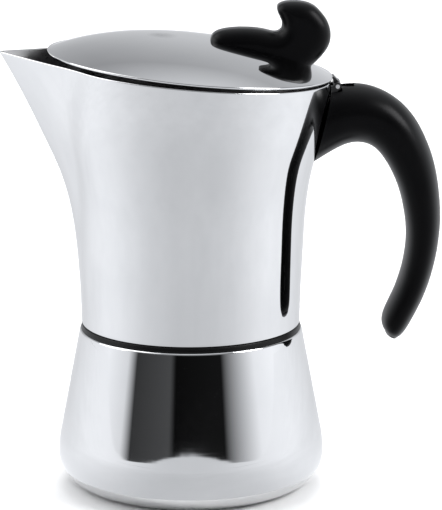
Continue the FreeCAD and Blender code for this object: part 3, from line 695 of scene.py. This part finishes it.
def build_jug():
    """Jug wall with its pressed spout, of even thickness, with rounded edges."""
    places = [step / POLE_STEPS for step in range(JUG_POLES * POLE_STEPS)]
    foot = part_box("jug_shell")[0].z / MM
    rolled = JUG_WALL / 2
    outer = jug_side(0.0, places, foot + rolled, -rolled, OUTER_RINGS)
    inner = jug_side(JUG_WALL, places, foot + rolled, -rolled, INNER_RINGS)
    rings = list(outer)
    rings += lip(outer[-1], inner[-1], 8)
    rings += list(inner[::-1])
    under = lip(inner[0], outer[0], 6)
    rings += [ring * (1, 1, -1) + (0, 0, 2 * inner[0][0][2]) for ring in under]
    points = [tuple(point) for ring in rings for point in ring]
    faces = ring_faces(len(rings), len(places), True)
    return add_piece("jug", points, faces, "polished_steel", "jug", ["jug_shell"])


build_jug()


# ---------------------------------------------------------------- lid

LID_RADIUS = 54.85
LID_BEAD = 0.5
LID_RISE = 9.6
LID_WALL = 0.8
LID_INSET = 0.6
DOME_POWER = 2.6

# Share of the lid's wall that is lost at its edge, and how suddenly it thins there.
EDGE_THINNING = 0.6
THINNING_POWER = 12

# The bead's round section, in degrees: where it leaves the dome, and how far it curls.
BEAD_START = 62
BEAD_SWEEP = 250

# The lid's own frame: where the plane of its edge meets the pot's axis, and its tilt in degrees.
LID_HEIGHT = 165.9
LID_TILT = 5.7
LID_FRAME = (Matrix.Translation((0, 0, LID_HEIGHT))
             @ Matrix.Rotation(math.radians(LID_TILT), 4, "Y"))


def dome_height(radius):
    """Height of the lid's outside over its edge, at a distance from the lid's axis."""
    share = min(radius / LID_RADIUS, 1.0)
    return LID_RISE * (1 - share ** DOME_POWER)


def build_lid():
    """Domed lid whose edge is rolled into a bead."""
    steps = 90
    edge = LID_RADIUS - LID_BEAD
    bend = edge - LID_BEAD / 2
    inner_edge = edge - LID_INSET
    outer = [(bend * math.sin(math.pi / 2 * step / steps),
              dome_height(bend * math.sin(math.pi / 2 * step / steps)))
             for step in range(steps + 1)]
    inner = []
    for r, z in outer:
        wall = LID_WALL * (1 - EDGE_THINNING * (r / bend) ** THINNING_POWER)
        inner.append((r * inner_edge / bend, z - wall))
    bead = []
    for step in range(1, 24):
        turn = math.radians(BEAD_START) - math.radians(BEAD_SWEEP) * step / 24
        bead.append((edge + LID_BEAD * math.cos(turn), LID_BEAD * math.sin(turn)))
    outline = outer + bead + inner[::-1]
    outline[0] = (0.0, outline[0][1])
    return lathe("lid", outline, "polished_steel", "lid", ["lid_shell"], segments=300,
                 matrix=LID_FRAME)


build_lid()


# ---------------------------------------------------------------- knob

# Side view of the knob, (x, z): along the tongue, up the inside of the hook, over the hook.
# Its points follow the photo's outline, measured through a fitted camera.
KNOB_TONGUE = [(7.6, 174.6), (8.6, 176.9), (11.2, 178.4), (15.5, 179.2), (21.4, 179.4),
               (27.0, 178.9), (31.0, 178.0)]
KNOB_HOOK = [(33.0, 177.8), (34.6, 178.7), (35.2, 180.4), (34.7, 182.6), (33.7, 184.8)]
KNOB_BACK = [(33.1, 186.5), (33.5, 188.1), (35.8, 189.2), (39.7, 189.6), (43.9, 189.1),
             (47.4, 187.6), (50.4, 184.7), (52.6, 181.4), (53.6, 177.8), (53.4, 174.2),
             (51.9, 170.9), (49.2, 167.6), (46.0, 164.6)]

# Two points inside the lid that close the side view.
KNOB_FOOT = [(44.0, 158.0), (9.0, 168.0)]


def smooth_run(points, steps):
    """Points along a smooth curve through the given ones."""
    points = [np.array(point, float) for point in points]
    ends = [2 * points[0] - points[1]] + points + [2 * points[-1] - points[-2]]
    result = []
    for index in range(1, len(ends) - 2):
        a, b, c, d = ends[index - 1:index + 3]
        for step in range(steps):
            t = step / steps
            result.append(0.5 * (2 * b + (c - a) * t + (2 * a - 5 * b + 4 * c - d) * t ** 2
                                 + (3 * b - a - 3 * c + d) * t ** 3))
    result.append(points[-1])
    return result


def remeshed(source, name, voxel, passes):
    """A copy of an object's shape as an even mesh, smoothed."""
    remesh = source.modifiers.new("even", "REMESH")
    remesh.mode = "VOXEL"
    remesh.voxel_size = voxel
    smooth = source.modifiers.new("soft", "SMOOTH")
    smooth.factor = 0.5
    smooth.iterations = passes
    graph = bpy.context.evaluated_depsgraph_get()
    mesh = bpy.data.meshes.new_from_object(source.evaluated_get(graph))
    mesh.name = name
    bpy.data.objects.remove(source)
    return mesh


# How far in from its outline the knob thins, and the share of its width that is left there.
KNOB_ROUNDING = 6.5
KNOB_EDGE = 0.3

# Width added on each side for what the smoothing takes off, the smoothing itself, and how deep
# the knob's foot goes into the lid's dome.
KNOB_SPARE = 0.25
KNOB_VOXEL = 0.4
KNOB_SMOOTHING = 26
KNOB_SINK = 0.35


def pillow(mesh, outline):
    """Thins a slab towards its outline, so that its edges are fully round."""
    coords = np.empty(len(mesh.vertices) * 3)
    mesh.vertices.foreach_get("co", coords)
    coords = coords.reshape(-1, 3)
    flat = coords[:, (0, 2)] / MM
    nearest = np.full(len(flat), 1e3)
    corners = [np.array(point, float) for point in outline]
    for start, end in zip(corners, corners[1:] + corners[:1]):
        edge = end - start
        share = np.clip((flat - start) @ edge / max(edge @ edge, 1e-9), 0.0, 1.0)
        gap = flat - start - share[:, None] * edge
        nearest = np.minimum(nearest, np.hypot(gap[:, 0], gap[:, 1]))
    short = 1.0 - np.clip(nearest / KNOB_ROUNDING, 0.0, 1.0)
    coords[:, 1] *= KNOB_EDGE + (1.0 - KNOB_EDGE) * np.sqrt(1.0 - short ** 2)
    mesh.vertices.foreach_set("co", coords.ravel())


def slab(side, left, right):
    """A plain block, given in millimetres: a side view made solid between two sides."""
    count = len(side)
    points = []
    for y in (left, right):
        points += [(x, y, z) for x, z in side]
    faces = [tuple(range(count)), tuple(reversed(range(count, 2 * count)))]
    for step in range(count):
        after = (step + 1) % count
        faces.append((after, step, step + count, after + count))
    mesh = bpy.data.meshes.new("knob_block")
    mesh.from_pydata([tuple(c * MM for c in point) for point in points], [], faces)
    return placed("knob_block", mesh)


def lay_on_dome(mesh):
    """Lifts the points that lie too deep in the lid to just under its dome."""
    back = LID_FRAME.inverted()
    for vertex in mesh.vertices:
        local = back @ (vertex.co / MM)
        floor = dome_height(math.hypot(local.x, local.y)) - KNOB_SINK
        if local.z < floor:
            local.z = floor
        vertex.co = (LID_FRAME @ local) * MM


def build_knob():
    """Thumb knob with soft moulded edges, its foot lying on the lid's dome."""
    low, high = (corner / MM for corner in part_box("lid_knob"))
    side = smooth_run(KNOB_TONGUE + KNOB_HOOK + KNOB_BACK, 6)
    side = [(x, z) for x, z in side] + KNOB_FOOT
    block = slab(side, low.y - KNOB_SPARE, high.y + KNOB_SPARE)
    soft = remeshed(block, "knob", KNOB_VOXEL * MM, KNOB_SMOOTHING)
    pillow(soft, side)
    lay_on_dome(soft)
    soft.polygons.foreach_set("use_smooth", [True] * len(soft.polygons))
    soft.materials.clear()
    soft.materials.append(MATERIALS["black_plastic"])
    piece = placed("knob", soft)
    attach(piece, "lid")
    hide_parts("lid_knob")
    return piece


build_knob()


# ---------------------------------------------------------------- valve spring

# The valve's axis, and the CAD's sizes for the spring on it, in millimetres.
VALVE_AXIS = Vector((0.0, 0.982151, 0.188097))
SPRING_RADIUS = 2.0
SPRING_WIRE = 0.3
SPRING_LENGTH = 7.8
SPRING_TURNS = 6
TURN_STEPS = 36
WIRE_SIDES = 12


def build_valve_spring():
    """Coil spring behind the valve's poppet."""
    low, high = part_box("valve_spring")
    middle = (low + high) / (2 * MM)
    across = Vector((1.0, 0.0, 0.0))
    upright = VALVE_AXIS.cross(across)
    rows = []
    steps = SPRING_TURNS * TURN_STEPS
    for step in range(steps + 1):
        turn = 2 * math.pi * SPRING_TURNS * step / steps
        outward = across * math.cos(turn) + upright * math.sin(turn)
        rise = VALVE_AXIS * (SPRING_LENGTH * (step / steps - 0.5))
        centre = middle + rise + outward * SPRING_RADIUS
        for part in range(WIRE_SIDES):
            angle = 2 * math.pi * part / WIRE_SIDES
            offset = outward * math.cos(angle) + VALVE_AXIS * math.sin(angle)
            rows.append(centre + offset * SPRING_WIRE)
    faces = ring_faces(steps + 1, WIRE_SIDES, False)
    faces.append(tuple(range(WIRE_SIDES)))
    faces.append(tuple(reversed(range(WIRE_SIDES * steps, WIRE_SIDES * (steps + 1)))))
    spring = add_piece("relief_spring", rows, faces, "plain_steel", "boiler", ["valve_spring"])
    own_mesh(spring)
    return spring


build_valve_spring()


# ---------------------------------------------------------------- handle

# Handle stations from the jug to the free end, as in the CAD: outer point and inner point.
# They follow the photo's outline, measured through a fitted camera.
HANDLE_STATIONS = [
    ((46.0, 155.0), (39.0, 122.0)),
    ((54.7, 156.9), (47.6, 127.4)),
    ((61.3, 157.9), (54.9, 132.1)),
    ((68.0, 157.4), (61.0, 135.2)),
    ((74.6, 155.0), (67.0, 135.2)),
    ((80.8, 151.0), (71.3, 133.0)),
    ((86.6, 144.8), (75.0, 128.6)),
    ((91.2, 136.0), (78.8, 121.7)),
    ((95.2, 125.0), (81.6, 114.1)),
    ((97.2, 108.0), (83.5, 104.0)),
    ((96.6, 97.0), (83.9, 96.6)),
    ((94.8, 86.0), (82.7, 87.0)),
    ((91.4, 75.0), (79.9, 77.4)),
    ((87.3, 66.8), (76.6, 70.6)),
    ((84.4, 61.4), (74.6, 65.8)),
    ((82.4, 58.8), (74.6, 62.4)),
    ((80.8, 57.8), (76.0, 60.0)),
]

# Width at the root and along the grip, the stations over which it changes, and the shares of the
# width that are left at the last three stations, from the free end back.
HANDLE_ROOT_WIDTH = 27.0
HANDLE_WIDTH = 23.5
ROOT_STATIONS = 7.0
TIP_WIDTHS = (0.62, 0.86, 0.97)

# Control points of a ring, and the power that makes its oval a little fuller than an ellipse.
HANDLE_POLES = 16
OVAL_POWER = 0.95

# Rings that sample the handle's surface, and rings of its mesh.
HANDLE_SAMPLES = 150
HANDLE_RINGS = 141

# How far the root goes into the jug's wall, and the length of the free end's round cap.
ROOT_SINK = 0.25
TIP_LENGTH = 1.3
TIP_RINGS = 7

# Boxes cut out of the handle for the hinge, as (low corner, high corner).
HINGE_POCKETS = [
    ((46.1, -6.8, 146.6), (58.1, 6.8, 168.6)),
    ((57.8, -4.0, 156.2), (62.8, 4.0, 160.2)),
]

# Edges sharper than this, in degrees, stay crisp where the handle is cut.
CRISP_ANGLE = 40


def handle_rows():
    """Control rings of the handle's surface."""
    rows = []
    count = len(HANDLE_STATIONS)
    for index, (outer, inner) in enumerate(HANDLE_STATIONS):
        share = min(1.0, index / ROOT_STATIONS)
        width = HANDLE_ROOT_WIDTH * (1 - share) + HANDLE_WIDTH * share
        left = count - 1 - index
        if left < len(TIP_WIDTHS):
            width *= TIP_WIDTHS[left]
        outer = np.array([outer[0], 0.0, outer[1]])
        inner = np.array([inner[0], 0.0, inner[1]])
        points = []
        for step in range(HANDLE_POLES):
            turn = 2 * math.pi * step / HANDLE_POLES
            reach = math.copysign(abs(math.cos(turn)) ** OVAL_POWER, math.cos(turn))
            spread = math.copysign(abs(math.sin(turn)) ** OVAL_POWER, math.sin(turn))
            points.append((outer + inner) / 2 + (outer - inner) / 2 * reach
                          + np.array([0.0, width / 2 * spread, 0.0]))
        rows.append(settled(np.array(points)))
    return rows + [rows[-1], rows[-1]]


def jug_radius(height):
    """Radius of the jug's round wall at a height."""
    heights = [section[0] for section in JUG_SECTIONS]
    return float(np.interp(height, heights, [section[1] for section in JUG_SECTIONS]))


def box_piece(low, high):
    """A plain box, given in millimetres."""
    points = [(x * MM, y * MM, z * MM) for z in (low[2], high[2]) for y in (low[1], high[1])
              for x in (low[0], high[0])]
    faces = [(0, 2, 3, 1), (4, 5, 7, 6), (0, 1, 5, 4), (2, 6, 7, 3), (0, 4, 6, 2), (1, 3, 7, 5)]
    mesh = bpy.data.meshes.new("cutter")
    mesh.from_pydata(points, [], faces)
    return placed("cutter", mesh)


def carve(piece, boxes):
    """Cuts boxes out of a piece and keeps its rounded faces smooth."""
    cutters = [box_piece(low, high) for low, high in boxes]
    for cutter in cutters:
        cut = piece.modifiers.new("cut", "BOOLEAN")
        cut.operation = "DIFFERENCE"
        cut.solver = "EXACT"
        cut.object = cutter
    graph = bpy.context.evaluated_depsgraph_get()
    carved = bpy.data.meshes.new_from_object(piece.evaluated_get(graph))
    piece.modifiers.clear()
    piece.data = carved
    for cutter in cutters:
        bpy.data.objects.remove(cutter)
    carved.polygons.foreach_set("use_smooth", [True] * len(carved.polygons))
    carved.set_sharp_from_angle(angle=math.radians(CRISP_ANGLE))


def handle_rings(places):
    """Rings of the handle's surface, from the jug's wall to the last station."""
    rows = handle_rows()
    top = len(rows) - 3 - 1e-6
    grid = np.array([around(along(rows, top * step / HANDLE_SAMPLES), places)
                     for step in range(HANDLE_SAMPLES + 1)])
    columns = []
    for column in range(len(places)):
        path = grid[:, column]
        out = np.array([math.hypot(x, y) - jug_radius(z) + ROOT_SINK for x, y, z in path])
        first = int(np.argmax(out > 0))
        share = -out[first - 1] / (out[first] - out[first - 1])
        spots = np.linspace(first - 1 + share, HANDLE_SAMPLES, HANDLE_RINGS)
        columns.append(np.array([np.interp(spots, np.arange(HANDLE_SAMPLES + 1), path[:, axis])
                                 for axis in range(3)]).T)
    return list(np.array(columns).transpose(1, 0, 2))


def tip_cap(rings):
    """Rings that close the free end in a round cap, and the cap's end point."""
    last = rings[-1]
    middle = last.mean(0)
    ahead = middle - rings[-4].mean(0)
    ahead *= TIP_LENGTH / np.linalg.norm(ahead)
    cap = []
    for step in range(1, TIP_RINGS):
        turn = math.pi / 2 * step / TIP_RINGS
        cap.append(middle + (last - middle) * math.cos(turn) + ahead * math.sin(turn))
    return cap, middle + ahead


def build_handle():
    """Hook handle: its root lies on the jug's wall and its free end is rounded."""
    places = [step / POLE_STEPS for step in range(HANDLE_POLES * POLE_STEPS)]
    rings = handle_rings(places)
    cap, tip = tip_cap(rings)
    rings += cap
    root = rings[0].mean(0)
    points = [tuple(point) for ring in rings for point in ring] + [tuple(tip), tuple(root)]
    around_count = len(places)
    faces = ring_faces(len(rings), around_count, False)
    end = (len(rings) - 1) * around_count
    for step in range(around_count):
        after = (step + 1) % around_count
        faces.append((end + step, end + after, len(points) - 2))
        faces.append((after, step, len(points) - 1))
    handle = add_piece("handle", points, faces, "black_plastic", "jug", ["handle_grip"])
    carve(handle, HINGE_POCKETS)
    return handle


build_handle()


# ---------------------------------------------------------------- studio

# The floor, in metres: half its width and its front and back edges, and how far it lies under
# the pot.
FLOOR_SIDE = 1.7
FLOOR_FRONT = -1.7
FLOOR_BACK = 2.6
FLOOR_GAP = 0.0002


def build_floor():
    """Pale flat floor under the pot."""
    mesh = bpy.data.meshes.new("floor")
    corners = [(-FLOOR_SIDE, FLOOR_FRONT, 0), (FLOOR_SIDE, FLOOR_FRONT, 0),
               (FLOOR_SIDE, FLOOR_BACK, 0), (-FLOOR_SIDE, FLOOR_BACK, 0)]
    mesh.from_pydata(corners, [], [(0, 1, 2, 3)])
    mesh.materials.append(table_top())
    floor = placed("floor", mesh)
    floor.location.z = -FLOOR_GAP


def area_light(name, place, aim, width, height, power):
    """A soft rectangular light at a place, in metres, turned to face another."""
    light = bpy.data.lights.new(name, "AREA")
    light.shape = "RECTANGLE"
    light.size = width
    light.size_y = height
    light.energy = power
    lamp = placed(name, light)
    lamp.location = place
    lamp.rotation_mode = "QUATERNION"
    lamp.rotation_quaternion = (Vector(aim) - Vector(place)).to_track_quat("-Z", "Y")
    return lamp


def place_at(degrees):
    """An azimuth, 0 towards the camera's side and +90 towards the handle, as a ramp position."""
    return (degrees + 180.0) / 360.0


# The studio's levels are set near to what the steel shows in the photo. Its light is a little cool.
STUDIO_TINT = (0.967, 0.985, 1.02, 1.0)

# Radiance of the studio's walls, by azimuth in degrees: bright at both sides, with a dark opening
# on the camera's side. The ramp counts in units of the top value.
WALL_STOPS = [
    (-180, 0.75), (-90, 1.3), (-65, 1.0), (-55, 0.05), (-20, 0.09), (-15, 0.005), (30, 0.01),
    (35, 0.2), (65, 1.2), (90, 1.35), (180, 0.75),
]
WALL_TOP = 1.5

# Elevation, in degrees, of the white sweep's upper edge straight in front of the pot.
SWEEP_EDGE = 4.4

# Radiance of the glowing paper that paints reflections round the pot: in front and behind, and at
# its sides.
PAPER_FRONT = 0.84
PAPER_SIDE = 1.27

# Inner and outer radius of the paper, in millimetres.
PAPER_INNER = 53.0
PAPER_OUTER = 1750.0


def paper_glow_level(tree, sideways):
    """Radiance of the paper, given how far sideways it lies, from -1 to 1."""
    share = math_node(tree, "POWER", math_node(tree, "ABSOLUTE", sideways), 3.0)
    return ranged(tree, share, 0.0, 1.0, PAPER_FRONT, PAPER_SIDE)


def by_azimuth(tree, share, stops, top):
    """A value that follows a list of (azimuth, value), in units of a top value."""
    levels = ramp(tree, share, [(place_at(degrees), value / top) for degrees, value in stops])
    return math_node(tree, "MULTIPLY", levels, top)


# Radiance of the far side of the studio, by elevation in degrees, and of the upper part of the
# camera's side.
FAR_STOPS = [(0, 0.65), (40, 0.45), (75, 1.0)]
FRONT_UPPER = 0.30

# The far side is darker towards the spout and brighter towards the handle.
FAR_AT_SPOUT = 0.93
FAR_AT_HANDLE = 1.25

# Half the soft width of the sweep's edge and how far it wanders, in degrees.
EDGE_SOFTNESS = 0.07
EDGE_WANDER = 0.03


def by_elevation(tree, rise, stops):
    """A value that follows a list of (elevation, value) up to the zenith."""
    share = ranged(tree, rise, 0.0, 90.0, 0.0, 1.0)
    return ramp(tree, share, [(degrees / 90.0, value) for degrees, value in stops])


def build_world():
    """A pale studio: white sweep, bright walls at both sides, dark opening on the camera's side."""
    world = bpy.data.worlds.new("studio")
    world.use_nodes = True
    tree = world.node_tree
    tree.nodes.clear()
    output = tree.nodes.new("ShaderNodeOutputWorld")
    background = tree.nodes.new("ShaderNodeBackground")
    split = tree.nodes.new("ShaderNodeSeparateXYZ")
    direction = tree.nodes.new("ShaderNodeTexCoord").outputs["Generated"]
    link(tree, direction, split.inputs["Vector"])
    x, y, z = (split.outputs[axis] for axis in "XYZ")
    turn = math_node(tree, "ARCTAN2", x, math_node(tree, "MULTIPLY", y, -1.0))
    share = ranged(tree, turn, -math.pi, math.pi, 0.0, 1.0)
    rise = math_node(tree, "MULTIPLY", math_node(tree, "ARCSINE", z), 180 / math.pi)
    ragged = ranged(tree, noise(tree, direction, 9.0, 2.0, 0.5), 0.3, 0.7,
                    -EDGE_WANDER, EDGE_WANDER)
    walls = by_azimuth(tree, share, WALL_STOPS, WALL_TOP)
    forward = math_node(tree, "MAXIMUM", math_node(tree, "MULTIPLY", y, -1.0), 0.0)
    curve = math_node(tree, "MULTIPLY", math_node(tree, "POWER", forward, 2.0), SWEEP_EDGE)
    edge = math_node(tree, "ADD", curve, ragged)
    above = ranged(tree, math_node(tree, "SUBTRACT", rise, edge),
                   -EDGE_SOFTNESS, EDGE_SOFTNESS, 0.0, 1.0)
    low = mixed(tree, above, paper_glow_level(tree, x), walls)
    lean = ranged(tree, x, -0.15, 0.2, FAR_AT_SPOUT, FAR_AT_HANDLE)
    far = math_node(tree, "MULTIPLY", by_elevation(tree, rise, FAR_STOPS), lean)
    near = mixed(tree, ranged(tree, rise, 45.0, 75.0, 0.0, 1.0), FRONT_UPPER, 1.0)
    upper = mixed(tree, ranged(tree, y, -0.3, 0.3, 0.0, 1.0), near, far)
    high = mixed(tree, ranged(tree, rise, 14.0, 26.0, 0.0, 1.0), low, upper)
    behind = ranged(tree, y, 0.6, 0.85, 0.0, 1.0)
    above_table = ranged(tree, rise, -0.5, 0.5, 0.0, 1.0)
    whole = mixed(tree, math_node(tree, "MULTIPLY", behind, above_table), high, far)
    link(tree, whole, background.inputs["Strength"])
    background.inputs["Color"].default_value = STUDIO_TINT
    link(tree, background.outputs["Background"], output.inputs["Surface"])
    bpy.context.scene.world = world


def only_reflected(piece):
    """Makes a studio piece show in reflections only: the camera and soft light miss it."""
    piece.visible_camera = False
    piece.visible_diffuse = False
    piece.visible_shadow = False


def glowing_paper():
    """Glowing paper: bright at both sides, greyer in front and behind, with painted shade near the
    pot.
    """
    material = bpy.data.materials.new("glowing_paper")
    material.use_nodes = True
    tree = material.node_tree
    tree.nodes.clear()
    output = tree.nodes.new("ShaderNodeOutputMaterial")
    glow = tree.nodes.new("ShaderNodeEmission")
    place = object_coordinates(tree)
    split = tree.nodes.new("ShaderNodeSeparateXYZ")
    link(tree, place, split.inputs["Vector"])
    reach = tree.nodes.new("ShaderNodeVectorMath")
    reach.operation = "LENGTH"
    link(tree, place, reach.inputs[0])
    distance = reach.outputs["Value"]
    sideways = math_node(tree, "DIVIDE", split.outputs["X"], distance)
    fibres = ranged(tree, noise(tree, place, 9.0, 3.0, 0.6), 0.3, 0.7, 0.97, 1.03)
    # painted shade: the paper glows dimmer close to the pot, standing in for the pot's shade on it
    near = ranged(tree, distance, 0.10, 0.40, 0.92, 1.0)
    level = math_node(tree, "MULTIPLY", paper_glow_level(tree, sideways), fibres)
    link(tree, math_node(tree, "MULTIPLY", level, near), glow.inputs["Strength"])
    glow.inputs["Color"].default_value = STUDIO_TINT
    link(tree, glow.outputs["Emission"], output.inputs["Surface"])
    return material


def glowing_paper_ring():
    """A flat ring of glowing paper round the pot that only shows as a painted reflection."""
    count = 96
    height = 0.2
    points = []
    for radius in (PAPER_INNER, PAPER_OUTER):
        for step in range(count):
            turn = 2 * math.pi * step / count
            points.append((radius * math.cos(turn) * MM, radius * math.sin(turn) * MM, height * MM))
    mesh = bpy.data.meshes.new("paper")
    mesh.from_pydata(points, [], ring_faces(2, count, False))
    mesh.materials.append(glowing_paper())
    only_reflected(placed("paper", mesh))


# Each light's name, place, aim, width, height, power in watts, and whether the steel shows it.
LIGHTS = [
    ("back_light", (0.0, 0.95, 0.9), (0, 0.95, 0), 0.7, 1.3, 12.0, False),
    ("left_light", (-1.05, 0.0, 0.75), (-0.6, 0, 0), 1.0, 1.4, 9.0, True),
    ("right_light", (0.98, -0.36, 0.86), (0.12, 0, 0.1), 0.55, 0.6, 12.0, True),
    ("front_light", (0.0, -1.3, 0.7), (0, 0, 0.05), 1.2, 0.5, 2.5, False),
]


build_floor()
build_world()
glowing_paper_ring()
for name, place, aim, width, height, power, reflected in LIGHTS:
    lamp = area_light(name, place, aim, width, height, power)
    lamp.visible_glossy = reflected


# The camera, fitted to the photo's outline: its place in metres, how far it looks down and to the
# right, in degrees, and its lens and sensor in millimetres.
CAMERA_PLACE = (0.0, -1.00506, 0.31903)
CAMERA_PITCH = 12.826
CAMERA_YAW = 0.673
CAMERA_LENS = 186.9
CAMERA_SENSOR = 36.0


def build_camera():
    """Camera a metre in front of the pot, above it, with a long lens."""
    data = bpy.data.cameras.new("camera")
    data.lens = CAMERA_LENS
    data.sensor_width = CAMERA_SENSOR
    data.clip_start = 0.05
    data.clip_end = 60.0
    camera = placed("camera", data)
    camera.location = CAMERA_PLACE
    pitch = math.radians(CAMERA_PITCH)
    yaw = math.radians(CAMERA_YAW)
    ahead = Vector((math.sin(yaw) * math.cos(pitch), math.cos(yaw) * math.cos(pitch),
                    -math.sin(pitch)))
    camera.rotation_mode = "QUATERNION"
    camera.rotation_quaternion = ahead.to_track_quat("-Z", "Y")
    bpy.context.scene.camera = camera


build_camera()
bpy.context.scene.view_settings.view_transform = "Standard"
